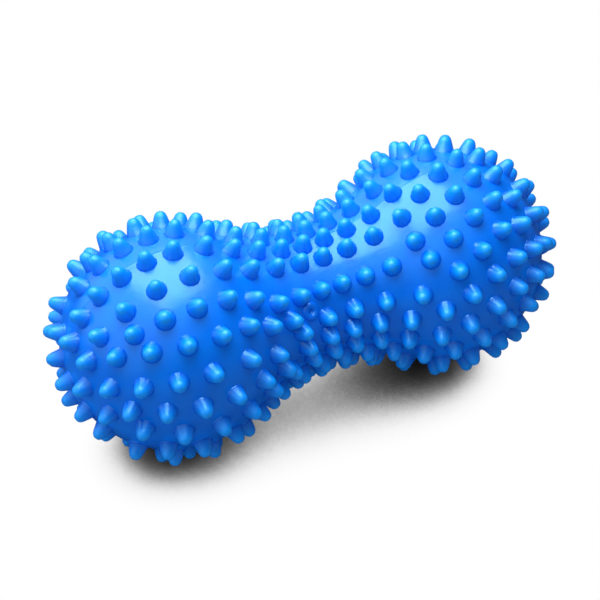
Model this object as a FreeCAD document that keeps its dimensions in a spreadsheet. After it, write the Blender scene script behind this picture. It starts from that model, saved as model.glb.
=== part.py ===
import FreeCAD, Part
import math
import os

import Sketcher

# Peanut massage ball: two round lobes and a slim waist, moulded in one piece, with rows of
# blunt spikes all over the skin and a small valve for air in front of the waist.
# Lengths are in millimetres and angles in degrees. The long axis lies along X.

document = FreeCAD.newDocument("PeanutMassageBall")
sheet = document.addObject("Spreadsheet::Sheet", "Sizes")

sizes = {
    "lobeRadius": 32.9,  # skin of a lobe, under its spikes
    "lobeOffset": 44.0,  # waist to the centre of a lobe
    "waistRadius": 20.2,  # skin at the narrowest place
    "spikeHeight": 4.6,  # above the skin
    "spikeFootRadius": 3.1,  # where a spike leaves the skin
    "spikeTopRadius": 2.0,  # at its blunt end
    "spikeRoot": 0.7,  # how deep a spike runs into the skin
    "spikeSides": 6,  # flat sides of one spike
    "patternReach": 98.1,  # waist to the end of a lobe, along the skin, in the row plan
    "firstRow": 76.4,  # angle of the first row, where 0 is +Y and 90 is straight up
    "rowsPerHalf": 11,  # rows in half a turn
    "waistCrowding": 5.35,  # how much closer the spikes stand at the waist
    "crowdingReach": 14.0,  # and how far from the waist that is felt
    "rightGap": 8.15,  # between the spikes of a row on the right lobe
    "rightLimit": 67.0,  # rows on the right lobe end here, and its rings begin
    "twistStart": 25.9,  # rows start to turn down around the right lobe here
    "twistReach": 28.6,  # and have finished turning this much further on
    "twistRows": 1.5,  # how far they turn, in rows
    "underTurn": 5.4,  # the lowest rows turn by this, so that two share the weight
    "underRows": 6,  # rows over which that turn fades
    "stripReach": 30.0,  # half the length of the bare strip beside the valve
    "valvePlace": -7.5,  # valve, along the skin from the waist
    "valveAngle": 149.0,
    "lipFootRadius": 2.7,
    "lipTopRadius": 2.1,
    "lipHeight": 0.6,
    "wellMouthRadius": 1.6,
    "wellFloorRadius": 0.7,
    "wellDepth": 1.8,
}
for line, (name, value) in enumerate(sizes.items(), start=1):
    sheet.set(f"A{line}", name)
    sheet.set(f"B{line}", str(value))
    sheet.setAlias(f"B{line}", name)
document.recompute()


def size(name):
    return float(sheet.get(name))


lobeRadius = size("lobeRadius")
lobeOffset = size("lobeOffset")
waistRadius = size("waistRadius")

# The waist is an arc that is tangent to both lobes and passes through the waist radius.
waistArc = (lobeOffset**2 + waistRadius**2 - lobeRadius**2) / (2 * (lobeRadius - waistRadius))
waistArcCentre = waistRadius + waistArc
waistHalfAngle = math.asin(lobeOffset / (lobeRadius + waistArc))
lobeStart = waistArc * waistHalfAngle
poleStation = lobeStart + lobeRadius * (waistHalfAngle + math.pi / 2)


def originPlane(body, role):
    return next(plane for plane in body.Origin.OriginFeatures if plane.Role == role)


def arc(centreX, centreY, radius, start, end):
    circle = Part.Circle(FreeCAD.Vector(centreX, centreY, 0), FreeCAD.Vector(0, 0, 1), radius)
    return Part.ArcOfCircle(circle, start, end)


# Skin: half the outline is drawn above the long axis and turned once around it.
def makeSkin():
    body = document.addObject("PartDesign::Body", "Skin")
    outline = body.newObject("Sketcher::SketchObject", "SkinOutline")
    outline.AttachmentSupport = [(originPlane(body, "XZ_Plane"), "")]
    outline.MapMode = "FlatFace"

    tangent = math.pi / 2 - waistHalfAngle
    end = lobeOffset + lobeRadius
    leftLobe = outline.addGeometry(arc(-lobeOffset, 0, lobeRadius, tangent, math.pi))
    waist = outline.addGeometry(
        arc(0, waistArcCentre, waistArc, math.pi + tangent, 2 * math.pi - tangent)
    )
    rightLobe = outline.addGeometry(arc(lobeOffset, 0, lobeRadius, 0, math.pi - tangent))
    axis = outline.addGeometry(
        Part.LineSegment(FreeCAD.Vector(-end, 0, 0), FreeCAD.Vector(end, 0, 0))
    )

    begin, finish, centre = 1, 2, 3
    horizontalAxis, verticalAxis = -1, -2
    rules = [
        Sketcher.Constraint("Coincident", leftLobe, finish, axis, begin),
        Sketcher.Constraint("Coincident", rightLobe, begin, axis, finish),
        Sketcher.Constraint("Tangent", leftLobe, begin, waist, begin),
        Sketcher.Constraint("Tangent", waist, finish, rightLobe, finish),
        Sketcher.Constraint("PointOnObject", leftLobe, finish, horizontalAxis),
        Sketcher.Constraint("PointOnObject", rightLobe, begin, horizontalAxis),
        Sketcher.Constraint("PointOnObject", leftLobe, centre, horizontalAxis),
        Sketcher.Constraint("PointOnObject", rightLobe, centre, horizontalAxis),
        Sketcher.Constraint("PointOnObject", waist, centre, verticalAxis),
        Sketcher.Constraint("Equal", leftLobe, rightLobe),
    ]
    outline.addConstraint(rules)
    driven = {
        "lobeRadius": Sketcher.Constraint("Radius", rightLobe, lobeRadius),
        "lobeOffset": Sketcher.Constraint("DistanceX", -1, 1, rightLobe, centre, lobeOffset),
        "waistArc": Sketcher.Constraint("Radius", waist, waistArc),
    }
    for name, rule in driven.items():
        outline.renameConstraint(outline.addConstraint(rule), name)
    outline.setExpression("Constraints.lobeRadius", "Sizes.lobeRadius")
    outline.setExpression("Constraints.lobeOffset", "Sizes.lobeOffset")
    outline.setExpression(
        "Constraints.waistArc",
        "(Sizes.lobeOffset^2 + Sizes.waistRadius^2 - Sizes.lobeRadius^2)"
        " / (2 * (Sizes.lobeRadius - Sizes.waistRadius))",
    )

    turned = body.newObject("PartDesign::Revolution", "SkinTurned")
    turned.Profile = outline
    turned.ReferenceAxis = (outline, ["H_Axis"])
    turned.Angle = 360
    document.recompute()
    return body


# A place on the skin, by its station along the skin from the waist and its angle around
# the long axis. Gives the point and the direction straight out of the skin.
def onSkin(station, angle):
    side = math.copysign(1, station)
    distance = abs(station)
    if distance < lobeStart:
        lean = distance / waistArc
        along, radius = waistArc * math.sin(lean), waistArcCentre - waistArc * math.cos(lean)
        out = (-math.sin(lean), math.cos(lean))
    else:
        lean = (distance - lobeStart) / lobeRadius - waistHalfAngle
        along = lobeOffset + lobeRadius * math.sin(lean)
        radius = lobeRadius * math.cos(lean)
        out = (math.sin(lean), math.cos(lean))
    across, up = math.cos(math.radians(angle)), math.sin(math.radians(angle))
    point = FreeCAD.Vector(side * along, radius * across, radius * up)
    return point, FreeCAD.Vector(side * out[0], out[1] * across, out[1] * up)


def seatedOnSkin(station, angle):
    point, outward = onSkin(station, angle)
    return FreeCAD.Placement(point, FreeCAD.Rotation(FreeCAD.Vector(0, 0, 1), outward))


# Row plan, in stations along the skin. A row has three runs: evenly spaced on the left
# lobe's end, crowded towards the waist in the middle, and evenly spaced on the right lobe.
# Columns: first station, gaps to the middle run, start of the middle run, gaps along it,
# first station on the right lobe, and how many degrees the left end leans round the lobe.
rowPlan = [
    (-71.9, 4, -40.8, 8, 26.4, -5),
    (-76.8, 4, -44.9, 9, 29.8, 3),
    (-74.0, 3, -43.7, 8, 28.0, 10),
    (-64.0, 2, -45.2, 9, 28.7, 2),
    (-80.9, 4, -40.9, 9, 31.2, -9),
    (-75.6, 3, -45.6, 8, 38.4, 0),
    (-70.1, 3, -40.0, 8, 33.0, 0),
    (-77.5, 3, -44.9, 9, 32.1, -5),
    (-59.5, 2, -39.8, 8, 28.6, 0),
    (-78.5, 3, -45.0, 8, 35.7, -6),
    (-65.0, 3, -41.5, 8, 28.6, 2),
]
valveRow = 4  # this row stops short of the valve, and is bare beside it
valveRowSpikes = 4  # that is, after so many spikes of its middle run
stripTurn = {3: 9.5, 4: 8.5}  # rows pushed aside by the bare strip, in degrees
stripGrowth = 1.6  # how soon that push is full, counted from the ends of the strip
bowTurn = {5: 10.0, 6: 8.0}  # rows that bow out below the valve
bowPlace, bowReach = -20.0, 8.0  # where they bow most, and how far it is felt

# The left end is closed by single spikes (distance from the end, angle), and the right end
# by rings (distance from the end, spikes in the ring, angle of the first).
leftEnd = [
    (3.4, 196), (4.2, 30), (11.3, 62), (13.6, 103), (12.5, 164),
    (12.8, 217), (12.2, 275), (12.6, 333), (13.0, 20),
]
rightEnd = [(25.6, 16, 84), (17.1, 11, 95), (8.6, 6, 80), (0.0, 1, 0)]


def crowded(station):
    return station + size("waistCrowding") * math.tanh(station / size("crowdingReach"))


halvings = 40  # of the pattern's length, which is far finer than any size here


# The station whose crowded value is the one given, found by halving.
def uncrowded(value):
    low, high = -size("patternReach"), size("patternReach")
    for _ in range(halvings):
        middle = (low + high) / 2
        if crowded(middle) < value:
            low = middle
        else:
            high = middle
    return low


def rowStations(row):
    first, endGaps, middle, middleGaps, right, _ = rowPlan[row]
    stations = [first + (middle - first) * i / endGaps for i in range(endGaps)]
    start, stop = crowded(middle), crowded(right)
    run = [uncrowded(start + (stop - start) * i / middleGaps) for i in range(middleGaps)]
    stations += run[:valveRowSpikes] if row == valveRow else run
    while right < size("rightLimit"):
        stations.append(right)
        right += size("rightGap")
    return stations


def rowAngle(row, half, station):
    rowStep = 180 / size("rowsPerHalf")
    angle = size("firstRow") + rowStep * row + 180 * half
    angle += half * size("underTurn") * max(0, 1 - row / size("underRows"))
    first, _, middle, _, _, lean = rowPlan[row]
    if station < middle:
        angle += lean * ((middle - station) / (middle - first)) ** 2
    strip = max(0, 1 - (station / size("stripReach")) ** 2)
    angle += stripTurn.get(row, 0) * min(1, stripGrowth * strip)
    angle += bowTurn.get(row, 0) * math.exp(-(((station - bowPlace) / bowReach) ** 2))
    twist = (station - size("twistStart")) / size("twistReach")
    return angle - size("twistRows") * rowStep * min(1, max(0, twist))


# Every spike as a station on this skin and an angle. The plan stretches with the skin.
def spikePlaces():
    stretch = poleStation / size("patternReach")
    places = []
    for half in (0, 1):
        for row in range(len(rowPlan)):
            for station in rowStations(row):
                places.append((station * stretch, rowAngle(row, half, station)))
    for distance, angle in leftEnd:
        places.append((-poleStation + distance * stretch, angle))
    for distance, count, angle in rightEnd:
        for i in range(count):
            places.append((poleStation - distance * stretch, angle + 360 * i / count))
    return places


def corners(radius, level, count):
    turns = [2 * math.pi * i / count for i in range(count)]
    return [FreeCAD.Vector(radius * math.cos(t), radius * math.sin(t), level) for t in turns]


# One spike: a blunt many-sided point that starts under the skin and narrows upwards.
def makeSpike():
    count = int(size("spikeSides"))
    height, root = size("spikeHeight"), size("spikeRoot")
    foot, top = size("spikeFootRadius"), size("spikeTopRadius")
    low = corners(foot + (foot - top) / height * root, -root, count)
    high = corners(top, height, count)
    sides = [[low[i - 1], low[i], high[i], high[i - 1]] for i in range(count)]
    outlines = [low[::-1], high] + sides
    faces = [Part.Face(Part.makePolygon(outline + outline[:1])) for outline in outlines]
    return Part.Solid(Part.Shell(faces))


# The valve is a low lip around a tapered well.
def makeValve():
    lip = document.addObject("Part::Cone", "ValveLip")
    lip.setExpression("Radius1", "Sizes.lipFootRadius")
    lip.setExpression("Radius2", "Sizes.lipTopRadius")
    lip.setExpression("Height", "Sizes.lipHeight + Sizes.spikeRoot")
    well = document.addObject("Part::Cone", "ValveWell")
    well.setExpression("Radius1", "Sizes.wellFloorRadius")
    well.setExpression("Radius2", "Sizes.wellMouthRadius")
    well.setExpression("Height", "Sizes.wellDepth")
    seat = seatedOnSkin(size("valvePlace") * poleStation / size("patternReach"), size("valveAngle"))
    lip.Placement = seat * FreeCAD.Placement(FreeCAD.Vector(0, 0, -size("spikeRoot")), FreeCAD.Rotation())
    mouth = size("lipHeight") - size("wellDepth")
    well.Placement = seat * FreeCAD.Placement(FreeCAD.Vector(0, 0, mouth), FreeCAD.Rotation())
    document.recompute()
    return lip, well


# The whole moulding, standing on its lowest spikes with the middle of its box over the origin.
def makeMassageBall(skin, lip, well):
    spike = makeSpike()
    spikes = []
    for station, angle in spikePlaces():
        placed = spike.copy()
        placed.Placement = seatedOnSkin(station, angle)
        spikes.append(placed)
    print("spikes", len(spikes))
    moulding = skin.Shape.fuse(spikes + [lip.Shape]).cut(well.Shape)
    ball = document.addObject("Part::Feature", "MassageBall")
    ball.Label = "massage_ball"
    ball.Shape = moulding.Solids[0]
    box = ball.Shape.optimalBoundingBox(False)
    ball.Placement = FreeCAD.Placement(
        FreeCAD.Vector(-box.Center.x, -box.Center.y, -box.ZMin), FreeCAD.Rotation()
    )
    if len(moulding.Solids) != 1:
        raise ValueError("The moulding came out in several pieces.")
    return ball


lip, well = makeValve()
ball = makeMassageBall(makeSkin(), lip, well)
document.recompute()

for item in document.Objects:
    if "Invalid" in item.State or "Error" in item.State:
        raise ValueError(f"{item.Label} is {item.State}.")
if ball.Shape.isNull() or not ball.Shape.isValid():
    raise ValueError(f"{ball.Label} has no valid shape.")

os.makedirs("parts", exist_ok=True)
ball.Shape.exportStep(f"parts/{ball.Label}.step")
box = ball.Shape.optimalBoundingBox(False)
print("length", round(box.XLength, 1), "depth", round(box.YLength, 1), "height", round(box.ZLength, 1))
print("volume", round(ball.Shape.Volume), "faces", len(ball.Shape.Faces))
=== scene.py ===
import math

import bmesh
import bpy
from mathutils import Matrix, Vector


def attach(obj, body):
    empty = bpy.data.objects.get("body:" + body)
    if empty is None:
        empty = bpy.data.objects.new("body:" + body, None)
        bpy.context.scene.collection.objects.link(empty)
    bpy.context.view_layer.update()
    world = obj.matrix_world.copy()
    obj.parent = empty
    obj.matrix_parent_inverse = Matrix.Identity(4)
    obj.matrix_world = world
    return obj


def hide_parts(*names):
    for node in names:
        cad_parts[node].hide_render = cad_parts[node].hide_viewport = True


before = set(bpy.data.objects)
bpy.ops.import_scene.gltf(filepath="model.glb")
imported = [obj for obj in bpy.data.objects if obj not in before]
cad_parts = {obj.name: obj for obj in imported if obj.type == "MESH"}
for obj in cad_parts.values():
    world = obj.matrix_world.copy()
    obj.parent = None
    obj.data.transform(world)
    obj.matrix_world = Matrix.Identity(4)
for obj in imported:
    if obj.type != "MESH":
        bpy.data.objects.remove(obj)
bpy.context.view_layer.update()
mm = 0.001


# Sizes of the skin, in millimetres. Stations run along the skin from the waist.
skin = {
    "lobeRadius": 32.9,
    "lobeOffset": 44.0,
    "waistRadius": 20.2,
    "axisHeight": 37.42,  # long axis above the floor
    "around": 160,  # faces around the long axis
    "along": 190,  # faces from end to end
    "seamAngles": (89.0, 269.0),  # where the mould halves meet, on top and underneath
    "seamWidth": 0.45,
    "seamHeight": 0.11,
    "seamClearance": 1.5,  # half widths of a seam kept free of other lines
}
waistArc = (skin["lobeOffset"]**2 + skin["waistRadius"]**2 - skin["lobeRadius"]**2) / (
    2 * (skin["lobeRadius"] - skin["waistRadius"])
)
waistArcCentre = skin["waistRadius"] + waistArc
waistHalfAngle = math.asin(skin["lobeOffset"] / (skin["lobeRadius"] + waistArc))
lobeStart = waistArc * waistHalfAngle
poleStation = lobeStart + skin["lobeRadius"] * (waistHalfAngle + math.pi / 2)
centre = Vector((0, 0, skin["axisHeight"]))


def onSkin(station, angle):
    # a place on the skin and the direction out of it
    side = math.copysign(1, station)
    distance = abs(station)
    if distance < lobeStart:
        lean = distance / waistArc
        along, radius = waistArc * math.sin(lean), waistArcCentre - waistArc * math.cos(lean)
        out = (-math.sin(lean), math.cos(lean))
    else:
        lean = (distance - lobeStart) / skin["lobeRadius"] - waistHalfAngle
        along = skin["lobeOffset"] + skin["lobeRadius"] * math.sin(lean)
        radius = skin["lobeRadius"] * math.cos(lean)
        out = (math.sin(lean), math.cos(lean))
    across, up = math.cos(math.radians(angle)), math.sin(math.radians(angle))
    point = centre + Vector((side * along, radius * across, radius * up))
    return point, Vector((side * out[0], out[1] * across, out[1] * up))


def meshObject(name, mesh):
    piece = bpy.data.objects.new(name, mesh)
    bpy.context.scene.collection.objects.link(piece)
    return piece


def lathe(name, profile, sides, place):
    # profile of (radius, height) in mm, turned around Z; a radius of 0 is a pole
    shape = bmesh.new()
    rings = []
    for radius, height in profile:
        if radius == 0:
            rings.append([shape.verts.new((0, 0, height * mm))])
        else:
            turns = [2 * math.pi * i / sides for i in range(sides)]
            spots = [(radius * mm * math.cos(t), radius * mm * math.sin(t), height * mm) for t in turns]
            rings.append([shape.verts.new(spot) for spot in spots])
    for low, high in zip(rings, rings[1:]):
        for i in range(sides):
            j = (i + 1) % sides
            corners = [low[i % len(low)], low[j % len(low)], high[j % len(high)], high[i % len(high)]]
            shape.faces.new(list(dict.fromkeys(corners)))
    shape.transform(place)
    bmesh.ops.recalc_face_normals(shape, faces=shape.faces)
    mesh = bpy.data.meshes.new(name)
    shape.to_mesh(mesh)
    shape.free()
    mesh.shade_smooth()
    return meshObject(name, mesh)


def seamLift(angle):
    # only the middle line of a seam is raised
    return skin["seamHeight"] if angle in skin["seamAngles"] else 0


def makeSkin():
    # the outline is turned around the long axis, with a fine raised line at each seam
    halfSeam = math.degrees(skin["seamWidth"] / 2 / skin["lobeRadius"])
    angles = [360 * i / skin["around"] for i in range(skin["around"])]
    for seam in skin["seamAngles"]:
        free = skin["seamClearance"] * halfSeam
        angles = [a for a in angles if abs((a - seam + 180) % 360 - 180) > free]
        angles += [seam - halfSeam, seam, seam + halfSeam]
    angles.sort()
    shape = bmesh.new()
    rows = []
    for k in range(1, skin["along"]):
        station = poleStation * (2 * k / skin["along"] - 1)
        row = []
        for angle in angles:
            point, out = onSkin(station, angle)
            row.append(shape.verts.new((point + out * seamLift(angle)) * mm))
        rows.append(row)
    count = len(angles)
    for low, high in zip(rows, rows[1:]):
        for i in range(count):
            shape.faces.new((low[i], low[(i + 1) % count], high[(i + 1) % count], high[i]))
    for row, end in ((rows[0], -poleStation), (rows[-1], poleStation)):
        pole = shape.verts.new(onSkin(end, 0)[0] * mm)
        for i in range(count):
            shape.faces.new((row[i], row[(i + 1) % count], pole))
    bmesh.ops.recalc_face_normals(shape, faces=shape.faces)
    mesh = bpy.data.meshes.new("ballSkin")
    shape.to_mesh(mesh)
    shape.free()
    mesh.shade_smooth()
    return meshObject("ballSkin", mesh)


# Where the spikes stand. A row has an evenly spaced run on the left lobe's end, a run that
# crowds towards the waist, and an evenly spaced run on the right lobe.
spikePlan = {
    "reach": 98.1,  # waist to the end of a lobe in this plan
    "firstRow": 76.4,  # 0 is straight back and 90 straight up
    "rowsPerHalf": 11,
    "crowding": 5.35,  # how much closer the spikes stand at the waist
    "crowdingReach": 14.0,
    "halvings": 40,  # when a crowded place is looked up
    "rightGap": 8.15,  # between the spikes of a row on the right lobe
    "rightLimit": 67.0,  # its rings begin here
    "twistStart": 25.9,  # rows turn down around the right lobe from here
    "twistReach": 28.6,
    "twistRows": 1.5,
    "underTurn": 5.4,  # degrees, for the lowest rows
    "underRows": 6,
    "stripReach": 30.0,
    "stripTurn": {3: 9.5, 4: 8.5},  # degrees, for the rows beside the bare strip
    "stripGrowth": 1.6,  # how soon that turn is full, counted from the strip's ends
    "bowTurn": {5: 10.0, 6: 8.0},  # degrees, for the rows that bow out below the valve
    "bowPlace": -20.0,
    "bowReach": 8.0,
    "valveRow": 4,
    "valveRowSpikes": 4,
    # first station, gaps to the middle run, its start, gaps along it, first station on the
    # right lobe, and how far the left end leans round the lobe
    "rows": [
        (-71.9, 4, -40.8, 8, 26.4, -5),
        (-76.8, 4, -44.9, 9, 29.8, 3),
        (-74.0, 3, -43.7, 8, 28.0, 10),
        (-64.0, 2, -45.2, 9, 28.7, 2),
        (-80.9, 4, -40.9, 9, 31.2, -9),
        (-75.6, 3, -45.6, 8, 38.4, 0),
        (-70.1, 3, -40.0, 8, 33.0, 0),
        (-77.5, 3, -44.9, 9, 32.1, -5),
        (-59.5, 2, -39.8, 8, 28.6, 0),
        (-78.5, 3, -45.0, 8, 35.7, -6),
        (-65.0, 3, -41.5, 8, 28.6, 2),
    ],
    # distance from the left end, angle
    "leftEnd": [
        (3.4, 196), (4.2, 30), (11.3, 62), (13.6, 103), (12.5, 164),
        (12.8, 217), (12.2, 275), (12.6, 333), (13.0, 20),
    ],
    # distance from the right end, spikes in the ring, angle of the first
    "rightEnd": [(25.6, 16, 84), (17.1, 11, 95), (8.6, 6, 80), (0.0, 1, 0)],
}


def crowded(station):
    return station + spikePlan["crowding"] * math.tanh(station / spikePlan["crowdingReach"])


def uncrowded(value):
    low, high = -spikePlan["reach"], spikePlan["reach"]
    for _ in range(spikePlan["halvings"]):
        middle = (low + high) / 2
        low, high = (middle, high) if crowded(middle) < value else (low, middle)
    return low


def rowStations(row):
    first, endGaps, middle, middleGaps, right, _ = spikePlan["rows"][row]
    stations = [first + (middle - first) * i / endGaps for i in range(endGaps)]
    start, stop = crowded(middle), crowded(right)
    run = [uncrowded(start + (stop - start) * i / middleGaps) for i in range(middleGaps)]
    stations += run[:spikePlan["valveRowSpikes"]] if row == spikePlan["valveRow"] else run
    while right < spikePlan["rightLimit"]:
        stations.append(right)
        right += spikePlan["rightGap"]
    return stations


def rowAngle(row, half, station):
    rowStep = 180 / spikePlan["rowsPerHalf"]
    angle = spikePlan["firstRow"] + rowStep * row + 180 * half
    angle += half * spikePlan["underTurn"] * max(0, 1 - row / spikePlan["underRows"])
    first, _, middle, _, _, lean = spikePlan["rows"][row]
    if station < middle:
        angle += lean * ((middle - station) / (middle - first)) ** 2
    strip = max(0, 1 - (station / spikePlan["stripReach"]) ** 2)
    angle += spikePlan["stripTurn"].get(row, 0) * min(1, spikePlan["stripGrowth"] * strip)
    bow = (station - spikePlan["bowPlace"]) / spikePlan["bowReach"]
    angle += spikePlan["bowTurn"].get(row, 0) * math.exp(-bow**2)
    twist = (station - spikePlan["twistStart"]) / spikePlan["twistReach"]
    return angle - spikePlan["twistRows"] * rowStep * min(1, max(0, twist))


def spikePlaces():
    stretch = poleStation / spikePlan["reach"]
    places = []
    for half in (0, 1):
        for row in range(len(spikePlan["rows"])):
            for station in rowStations(row):
                places.append((station * stretch, rowAngle(row, half, station)))
    for distance, angle in spikePlan["leftEnd"]:
        places.append((-poleStation + distance * stretch, angle))
    for distance, count, angle in spikePlan["rightEnd"]:
        for i in range(count):
            places.append((poleStation - distance * stretch, angle + 360 * i / count))
    return places


# One spike, in millimetres, and how the spikes differ from each other.
spike = {
    "height": 4.6,
    "root": 0.6,  # how deep it starts under the skin
    "footRadius": 3.08,
    "sides": 12,
    # share of the foot radius at each share of the way up from root to tip
    "profile": [
        (1.03, 0.0), (0.99, 0.121), (0.90, 0.173), (0.645, 0.663),
        (0.52, 0.837), (0.31, 0.958), (0.0, 1.0),
    ],
    "merge": 0.01,  # vertices this close become one
    "sizeChange": 0.02,  # as a share of the size
    "lean": 0.03,  # as a share of the height
    "seed": 11,
}


def seatPoints():
    # one loose vertex for each spike, with the direction out of the skin
    mesh = bpy.data.meshes.new("ballSpikes")
    places = [onSkin(station, angle) for station, angle in spikePlaces()]
    mesh.from_pydata([point * mm for point, _ in places], [], [])
    outward = mesh.attributes.new("outward", "FLOAT_VECTOR", "POINT")
    outward.data.foreach_set("vector", [number for _, out in places for number in out])
    return meshObject("ballSpikes", mesh)


def linked(tree, kind, inputs, **settings):
    # a node with its settings, and its inputs set to values or linked to other sockets
    node = tree.nodes.new(kind)
    for name, value in settings.items():
        setattr(node, name, value)
    for key, value in inputs.items():
        if isinstance(value, bpy.types.NodeSocket):
            tree.links.new(value, node.inputs[key])
        else:
            node.inputs[key].default_value = value
    return node


def ranged(tree, value, start, full, toLow, toHigh):
    # toLow up to start and toHigh from full onwards
    inputs = {0: value, 1: start, 2: full, 3: toLow, 4: toHigh}
    return linked(tree, "ShaderNodeMapRange", inputs).outputs[0]


def curveThrough(tree, factor, places, handle):
    # a curve through places from 0 to 1
    node = linked(tree, "ShaderNodeFloatCurve", {"Value": factor})
    node.mapping.use_clip = False
    line = node.mapping.curves[0]
    line.points[0].location = places[0]
    line.points[1].location = places[-1]
    for place in places[1:-1]:
        line.points.new(*place)
    for point in line.points:
        point.handle_type = handle
    node.mapping.update()
    return node.outputs["Value"]


def profileCurve(tree, factor, values):
    # one value for each ring of the spike, straight between them
    steps = len(values) - 1
    places = [(i / steps, value) for i, value in enumerate(values)]
    return curveThrough(tree, factor, places, "VECTOR")


def spikeTree():
    # a grid is rolled up into one spike, which then stands on every point
    tree = bpy.data.node_groups.new("spikesOnSkin", "GeometryNodeTree")
    face = tree.interface
    face.new_socket("Geometry", in_out="OUTPUT", socket_type="NodeSocketGeometry")
    face.new_socket("Geometry", in_out="INPUT", socket_type="NodeSocketGeometry")
    for name in ("Height", "Root", "Foot radius", "Size change", "Lean"):
        face.new_socket(name, in_out="INPUT", socket_type="NodeSocketFloat")
    for name in ("Sides", "Seed"):
        face.new_socket(name, in_out="INPUT", socket_type="NodeSocketInt")
    face.new_socket("Vinyl", in_out="INPUT", socket_type="NodeSocketMaterial")
    given = tree.nodes.new("NodeGroupInput").outputs

    def arithmetic(operation, a, b=0.0):
        return linked(tree, "ShaderNodeMath", {0: a, 1: b}, operation=operation).outputs[0]

    radii = [radius for radius, _ in spike["profile"]]
    heights = [height for _, height in spike["profile"]]
    grid = linked(tree, "GeometryNodeMeshGrid", {
        "Size X": 1.0,
        "Size Y": 1.0,
        "Vertices X": arithmetic("ADD", given["Sides"], 1.0),
        "Vertices Y": len(spike["profile"]),
    })
    share = linked(tree, "ShaderNodeSeparateXYZ", {"Vector": grid.outputs["UV Map"]}).outputs
    turn = arithmetic("MULTIPLY", share["X"], math.tau)
    radius = arithmetic("MULTIPLY", profileCurve(tree, share["Y"], radii), given["Foot radius"])
    rise = profileCurve(tree, share["Y"], heights)
    whole = arithmetic("ADD", given["Height"], given["Root"])
    level = arithmetic("SUBTRACT", arithmetic("MULTIPLY", rise, whole), given["Root"])
    position = linked(tree, "ShaderNodeCombineXYZ", {
        "X": arithmetic("MULTIPLY", radius, arithmetic("COSINE", turn)),
        "Y": arithmetic("MULTIPLY", radius, arithmetic("SINE", turn)),
        "Z": level,
    }).outputs[0]
    # the vinyl's painted root shade, painted tip glow and painted tip dimple shade follow how far up the
    # spike a place is
    named = linked(tree, "GeometryNodeStoreNamedAttribute", {
        "Geometry": grid.outputs["Mesh"],
        "Name": "rise",
        "Value": rise,
    }, data_type="FLOAT", domain="POINT")
    rolled = linked(tree, "GeometryNodeSetPosition", {
        "Geometry": named.outputs[0],
        "Position": position,
    })
    closed = linked(tree, "GeometryNodeMergeByDistance", {
        "Geometry": rolled.outputs[0],
        "Distance": spike["merge"] * mm,
    })
    smooth = linked(tree, "GeometryNodeSetShadeSmooth", {
        "Geometry": closed.outputs[0],
        "Shade Smooth": True,
    })

    # each spike stands square to the skin, with a small lean and a size of its own
    outward = linked(tree, "GeometryNodeInputNamedAttribute", {
        "Name": "outward",
    }, data_type="FLOAT_VECTOR")
    tilt = linked(tree, "FunctionNodeRandomValue", {
        "Min": (-1, -1, -1),
        "Max": (1, 1, 1),
        "Seed": given["Seed"],
    }, data_type="FLOAT_VECTOR")
    offset = linked(tree, "ShaderNodeVectorMath", {
        0: tilt.outputs[0],
        "Scale": given["Lean"],
    }, operation="SCALE")
    leaned = linked(tree, "ShaderNodeVectorMath", {
        0: outward.outputs["Attribute"],
        1: offset.outputs[0],
    }, operation="ADD")
    aligned = linked(tree, "FunctionNodeAlignRotationToVector", {
        "Vector": leaned.outputs[0],
    }, axis="Z")
    change = linked(tree, "FunctionNodeRandomValue", {
        2: arithmetic("SUBTRACT", 1.0, given["Size change"]),
        3: arithmetic("ADD", 1.0, given["Size change"]),
        "Seed": given["Seed"],
    }, data_type="FLOAT")
    placed = linked(tree, "GeometryNodeInstanceOnPoints", {
        "Points": given["Geometry"],
        "Instance": smooth.outputs[0],
        "Rotation": aligned.outputs[0],
        "Scale": change.outputs[1],
    })
    real = linked(tree, "GeometryNodeRealizeInstances", {"Geometry": placed.outputs[0]})
    painted = linked(tree, "GeometryNodeSetMaterial", {
        "Geometry": real.outputs[0],
        "Material": given["Vinyl"],
    })
    result = tree.nodes.new("NodeGroupOutput")
    tree.links.new(painted.outputs[0], result.inputs[0])
    return tree


def makeSpikes(vinyl):
    seats = seatPoints()
    modifier = seats.modifiers.new("spikes", "NODES")
    modifier.node_group = spikeTree()
    chosen = {
        "Height": spike["height"] * mm,
        "Root": spike["root"] * mm,
        "Foot radius": spike["footRadius"] * mm,
        "Size change": spike["sizeChange"],
        "Lean": spike["lean"],
        "Sides": spike["sides"],
        "Seed": spike["seed"],
        "Vinyl": vinyl,
    }
    for item in modifier.node_group.interface.items_tree:
        if item.in_out == "INPUT" and item.name in chosen:
            modifier[item.identifier] = chosen[item.name]
    bpy.context.view_layer.update()
    evaluated = seats.evaluated_get(bpy.context.evaluated_depsgraph_get())
    mesh = bpy.data.meshes.new_from_object(evaluated)
    seats.modifiers.clear()
    seats.data = mesh
    return seats


# The valve is a low soft lip around a dimple, in front of the waist.
valve = {
    "station": -7.5,
    "angle": 149.0,
    "sides": 40,
    "cutRadius": 1.9,  # of the hole in the skin that the valve closes
    "cutDepth": 2.0,  # below the skin
    "cutHeight": 2.0,  # above the skin
    # radius and height above the skin, from the middle underneath to the dimple's floor
    "profile": [
        (0, -2.0), (1.8, -2.0), (2.2, -1.0), (2.9, -0.5), (2.75, 0.0), (2.45, 0.36), (2.05, 0.6),
        (1.6, 0.66), (1.25, 0.55), (0.9, 0.25), (0.65, -0.1), (0.4, -0.35), (0, -0.4),
    ],
}


def seatMatrix(station, angle):
    point, out = onSkin(station, angle)
    return Matrix.Translation(point * mm) @ out.to_track_quat("Z", "Y").to_matrix().to_4x4()


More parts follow.
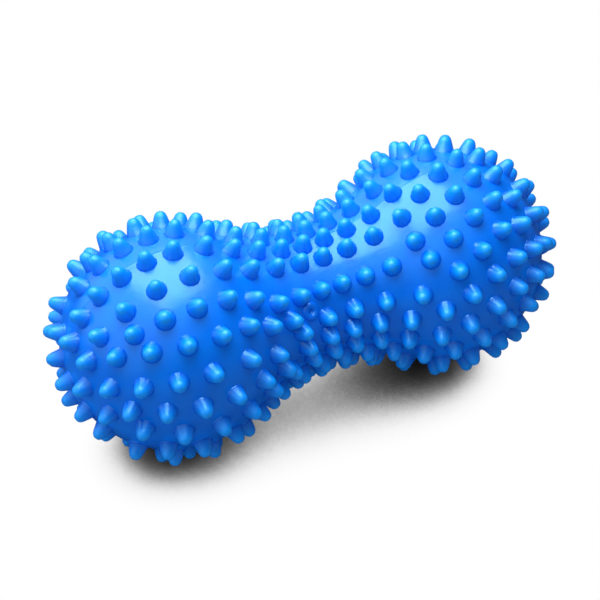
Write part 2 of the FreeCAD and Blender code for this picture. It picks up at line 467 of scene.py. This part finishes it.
def makeValve(ballSkin):
    place = seatMatrix(valve["station"], valve["angle"])
    cutter = lathe("valveCutter", [
        (0, -valve["cutDepth"]),
        (valve["cutRadius"], -valve["cutDepth"]),
        (valve["cutRadius"], valve["cutHeight"]),
        (0, valve["cutHeight"]),
    ], valve["sides"], place)
    hole = ballSkin.modifiers.new("valveHole", "BOOLEAN")
    hole.object = cutter
    hole.operation = "DIFFERENCE"
    bpy.context.view_layer.update()
    evaluated = ballSkin.evaluated_get(bpy.context.evaluated_depsgraph_get())
    mesh = bpy.data.meshes.new_from_object(evaluated)
    ballSkin.modifiers.clear()
    ballSkin.data = mesh
    bpy.data.objects.remove(cutter)
    return lathe("ballValve", valve["profile"], valve["sides"], place)


# Soft blue vinyl with a satin sheen. Scales are per metre. A rise is 0 at a spike's root and
# 1 at its tip, given where a change starts and where it is full. Along each spike the colour
# holds painted shade at the foot, a painted glow towards the tip, and a painted shade dot
# in the middle of the tip.
vinylLook = {
    "deep": (0.0, 0.155, 0.84, 1),
    "bright": (0.0, 0.19, 0.92, 1),
    # painted shade: a darker ring at the foot of each spike, where it meets the skin
    "root": (0.0, 0.125, 0.78, 1),
    "rootShadeRise": (0.10, 0.13),
    # painted glow: lighter, more cyan blue towards each tip, in place of light shining through the thin
    # vinyl
    "tipGlow": (0.0, 0.28, 1.0, 1),
    "tipGlowRise": (0.15, 0.8),
    "tipDimpleShade": (0.0, 0.12, 0.5, 1),  # painted shade of a small dimple in the middle of a tip
    "tipDimpleShadeRise": (0.990, 0.997),
    "tipDimpleShadeShare": 0.8,
    "roughness": (0.2, 0.27),
    "spikeRougher": 0.09,
    "spikeRise": (0.12, 0.3),
    "specular": 1.0,
    "sheen": (0.38, 0.88, 1.0, 1),  # colour of what the vinyl mirrors
    "cloudScale": 90,  # clouds of the two blues
    "patchScale": 260,  # patches of gloss
    "spread": (0.3, 0.7),  # the part of a noise that is used
    "grain": {"scale": 2600, "strength": 0.10, "height": 0.0002},
    "dents": {"scale": 330, "strength": 0.12, "height": 0.0006},
}


def makeVinyl():
    material = bpy.data.materials.new("vinyl")
    material.use_nodes = True
    tree = material.node_tree
    shader = tree.nodes["Principled BSDF"]
    place = tree.nodes.new("ShaderNodeTexCoord").outputs["Object"]

    def noise(scale, detail):
        texture = linked(tree, "ShaderNodeTexNoise", {"Vector": place, "Scale": scale, "Detail": detail})
        return texture.outputs["Fac"]

    def mixed(factor, a, b):
        return linked(tree, "ShaderNodeMix", {"Factor": factor, 6: a, 7: b}, data_type="RGBA").outputs[2]

    def bumped(bump, **under):
        return linked(tree, "ShaderNodeBump", {
            "Height": noise(bump["scale"], 2),
            "Strength": bump["strength"],
            "Distance": bump["height"],
            **under,
        }).outputs[0]

    rise = linked(tree, "ShaderNodeAttribute", {}, attribute_name="rise").outputs["Fac"]
    cloud = ranged(tree, noise(vinylLook["cloudScale"], 3), *vinylLook["spread"], 0, 1)
    body = mixed(cloud, vinylLook["deep"], vinylLook["bright"])
    # painted shade at the spike feet, painted glow towards the tips and a painted shade dot at each tip
    atRootShade = ranged(tree, rise, *vinylLook["rootShadeRise"], 0, 1)
    atTipGlow = ranged(tree, rise, *vinylLook["tipGlowRise"], 0, 1)
    atTipDimpleShade = ranged(tree, rise, *vinylLook["tipDimpleShadeRise"], 0, vinylLook["tipDimpleShadeShare"])
    paintedShadeAndGlow = mixed(atTipGlow, mixed(atRootShade, body, vinylLook["root"]), vinylLook["tipGlow"])
    tree.links.new(mixed(atTipDimpleShade, paintedShadeAndGlow, vinylLook["tipDimpleShade"]), shader.inputs["Base Color"])
    patches = noise(vinylLook["patchScale"], 4)
    uneven = ranged(tree, patches, *vinylLook["spread"], *vinylLook["roughness"])
    rougher = ranged(tree, rise, *vinylLook["spikeRise"], 0, vinylLook["spikeRougher"])
    rough = linked(tree, "ShaderNodeMath", {0: uneven, 1: rougher}, operation="ADD").outputs[0]
    tree.links.new(rough, shader.inputs["Roughness"])
    grain = bumped(vinylLook["grain"])
    tree.links.new(bumped(vinylLook["dents"], Normal=grain), shader.inputs["Normal"])
    shader.inputs["Specular IOR Level"].default_value = vinylLook["specular"]
    shader.inputs["Specular Tint"].default_value = vinylLook["sheen"]
    return material


# The photograph's view. The camera looks past the middle of the ball from the front left.
view = {
    "turn": 25.40,  # degrees to the left of straight in front
    "tilt": 41.88,  # degrees above level
    "distance": 476.4,
    "sideways": 2.27,  # middle of the ball beside and above the middle of the frame
    "upward": 1.58,
    "lens": 94.57,  # millimetres, as are the sensor and the distances
    "sensor": 36,
}


def makeCamera():
    turn, tilt = math.radians(view["turn"]), math.radians(view["tilt"])
    right = Vector((math.cos(turn), -math.sin(turn), 0))
    level = math.cos(tilt)
    forward = Vector((math.sin(turn) * level, math.cos(turn) * level, -math.sin(tilt)))
    up = right.cross(forward)
    place = centre - right * view["sideways"] - up * view["upward"] - forward * view["distance"]
    camera = bpy.data.objects.new("camera", bpy.data.cameras.new("camera"))
    bpy.context.scene.collection.objects.link(camera)
    camera.data.lens = view["lens"]
    camera.data.sensor_width = view["sensor"]
    axes = Matrix((right, up, -forward)).transposed().to_4x4()
    camera.matrix_world = Matrix.Translation(place * mm) @ axes
    bpy.context.scene.camera = camera


# Studio: a white floor, a soft lamp close above the ball, and pale surroundings that shine
# most from behind on the left.
studio = {
    "floorSize": 6.0,  # metres
    "floor": (0.5, 0.5, 0.5, 1),  # the floor as it lights the ball
    "floorMirrored": (0.02, 0.02, 0.02, 1),  # the floor in the vinyl's reflections
    "brightest": (-0.45, 0.4, 0.8),  # where the surroundings shine most
    "growth": (0.0, 0.95),  # from the front level to the back level, by facing that place
    "front": 0.24,  # light from the surroundings, away from that place and around it
    "back": 1.4,
    "frontMirrored": 0.0,  # the same in the vinyl's reflections
    "backMirrored": 1.2,
    "lampPlace": (-0.015, 0.07, 0.29),  # metres, as are the lamp's sizes
    "lampAim": (0.0, 0.0, 0.03),
    "lampWidth": 0.26,
    "lampDepth": 0.28,
    "lampPower": 1.0,  # watts
    "shadowReach": 0.05,  # metres from the floor to what shades it
    "shadowLean": (0.3, 0.4, 1.0),  # where the light of the floor comes from
    # brightness of the floor where this share of the light reaches it
    "shadow": [
        (0.0, 0.0), (0.17, 0.01), (0.22, 0.03), (0.28, 0.12), (0.33, 0.36),
        (0.37, 0.66), (0.42, 0.87), (0.5, 0.98), (1.0, 1.0),
    ],
    "shadowSamples": 48,
}


def makeFloor():
    shape = bmesh.new()
    bmesh.ops.create_grid(shape, x_segments=1, y_segments=1, size=studio["floorSize"] / 2)
    mesh = bpy.data.meshes.new("floor")
    shape.to_mesh(mesh)
    shape.free()
    floor = meshObject("floor", mesh)
    paper = bpy.data.materials.new("floorPaper")
    paper.use_nodes = True
    tree = paper.node_tree
    tree.nodes.clear()
    # the camera sees white paper with a soft neutral shadow, and the ball is lit by pale paper
    lean = Vector(studio["shadowLean"]).normalized()
    opened = linked(tree, "ShaderNodeAmbientOcclusion", {
        "Distance": studio["shadowReach"],
        "Normal": linked(tree, "ShaderNodeCombineXYZ", dict(zip("XYZ", lean))).outputs[0],
    }, samples=studio["shadowSamples"])
    shade = curveThrough(tree, opened.outputs["AO"], studio["shadow"], "AUTO")
    seen = linked(tree, "ShaderNodeEmission", {"Color": shade, "Strength": 1.0})
    path = tree.nodes.new("ShaderNodeLightPath").outputs
    colour = linked(tree, "ShaderNodeMix", {
        "Factor": path["Is Glossy Ray"],
        6: studio["floor"],
        7: studio["floorMirrored"],
    }, data_type="RGBA")
    pale = linked(tree, "ShaderNodeBsdfDiffuse", {"Color": colour.outputs[2]})
    both = linked(tree, "ShaderNodeMixShader", {
        0: path["Is Camera Ray"],
        1: pale.outputs[0],
        2: seen.outputs[0],
    })
    result = tree.nodes.new("ShaderNodeOutputMaterial")
    tree.links.new(both.outputs[0], result.inputs["Surface"])
    floor.data.materials.append(paper)


def makeSurroundings():
    world = bpy.data.worlds.new("studio")
    bpy.context.scene.world = world
    world.use_nodes = True
    tree = world.node_tree
    background = tree.nodes["Background"]
    background.inputs["Color"].default_value = (1, 1, 1, 1)
    towards = tree.nodes.new("ShaderNodeTexCoord").outputs["Generated"]
    near = linked(tree, "ShaderNodeVectorMath", {
        0: towards,
        1: Vector(studio["brightest"]).normalized(),
    }, operation="DOT_PRODUCT").outputs["Value"]
    path = tree.nodes.new("ShaderNodeLightPath").outputs

    lit = ranged(tree, near, *studio["growth"], studio["front"], studio["back"])
    mirrored = ranged(tree, near, *studio["growth"], studio["frontMirrored"], studio["backMirrored"])
    unseen = ranged(tree, path["Is Glossy Ray"], 0, 1, lit, mirrored)
    level = ranged(tree, path["Is Camera Ray"], 0, 1, unseen, 1)
    tree.links.new(level, background.inputs["Strength"])


def makeLamp():
    lamp = bpy.data.objects.new("overheadLamp", bpy.data.lights.new("overheadLamp", "AREA"))
    bpy.context.scene.collection.objects.link(lamp)
    lamp.data.shape = "RECTANGLE"
    lamp.data.size = studio["lampWidth"]
    lamp.data.size_y = studio["lampDepth"]
    lamp.data.energy = studio["lampPower"]
    place = Vector(studio["lampPlace"])
    turned = (Vector(studio["lampAim"]) - place).to_track_quat("-Z", "Y").to_matrix().to_4x4()
    lamp.matrix_world = Matrix.Translation(place) @ turned


def joined(name, pieces):
    # one moulding, so one mesh
    shape = bmesh.new()
    for piece in pieces:
        shape.from_mesh(piece.data)
    mesh = bpy.data.meshes.new(name)
    shape.to_mesh(mesh)
    shape.free()
    for piece in pieces:
        bpy.data.objects.remove(piece)
    return meshObject(name, mesh)


bpy.context.scene.view_settings.view_transform = "Standard"
makeCamera()
makeFloor()
makeSurroundings()
makeLamp()
print("camera and studio are in place")
vinyl = makeVinyl()
ballSkin = makeSkin()
ballValve = makeValve(ballSkin)
print("skin", len(ballSkin.data.polygons), "faces")
ballSpikes = makeSpikes(vinyl)
print("spikes", len(ballSpikes.data.polygons), "faces")
massageBall = joined("massageBall", [ballSkin, ballSpikes, ballValve])
massageBall.data.materials.clear()
massageBall.data.materials.append(vinyl)
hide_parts("massage_ball")
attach(massageBall, "root")
